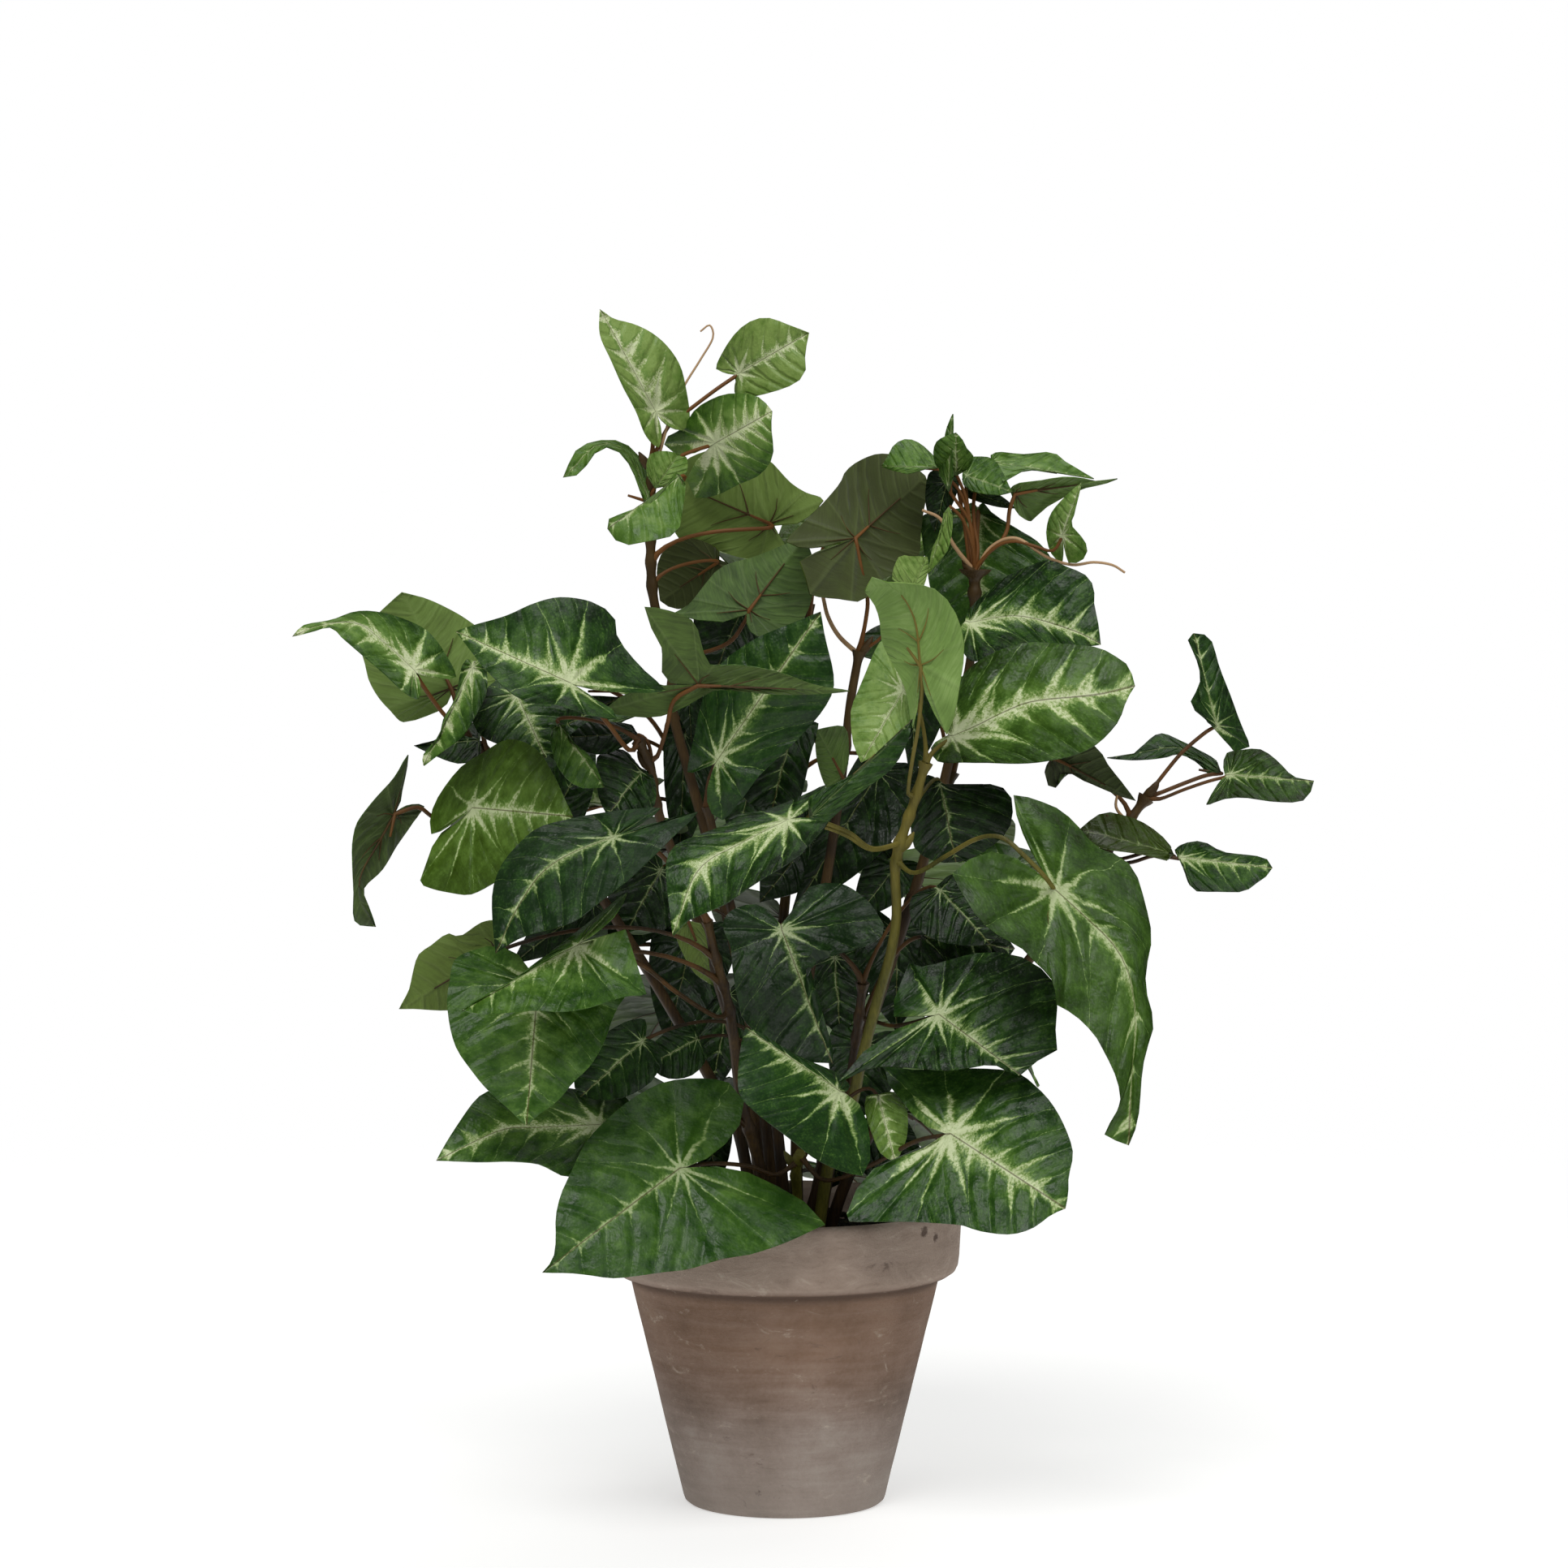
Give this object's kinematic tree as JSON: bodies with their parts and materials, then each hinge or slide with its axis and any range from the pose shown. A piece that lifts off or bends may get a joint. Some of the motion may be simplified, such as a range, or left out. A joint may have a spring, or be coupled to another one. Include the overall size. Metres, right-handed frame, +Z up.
{
  "type": "potted syngonium",
  "caption": "Artificial arrowhead vine in a small weathered clay pot: variegated green leaves on brown stems that fan out of dark mossy fill",
  "frame": {"origin": "middle of the pot's flat underside, where the pot stands", "axes": "+Z up along the pot's axis; -Y towards the side that the picture shows; +X to the right of that view"},
  "size_m": [0.3227, 0.2175, 0.3836],
  "materials": {
    "clay": "unglazed clay, whitewashed and aged, matte",
    "moss_fill": "dark mossy fill, matte",
    "foliage": "printed leaf cloth, soft satin, on brown stems"
  },
  "bodies": {
    "root": {"pot": "clay", "soil": "moss_fill", "leafy_stem_top_left": "foliage", "leafy_stem_left_fork": "foliage", "leafy_stem_top_middle": "foliage", "leafy_stem_front_olive": "foliage", "leafy_stem_middle": "foliage", "leafy_stem_top_right": "foliage", "leafy_stem_far_left": "foliage", "leafy_stem_front_left": "foliage", "leafy_stem_inner": "foliage", "leafy_stem_far_right": "foliage", "leafy_stem_low_front": "foliage", "leafy_stem_rear_left": "foliage", "leafy_stem_rear_middle": "foliage", "leafy_stem_rear_right": "foliage"}
  },
  "joints": []
}
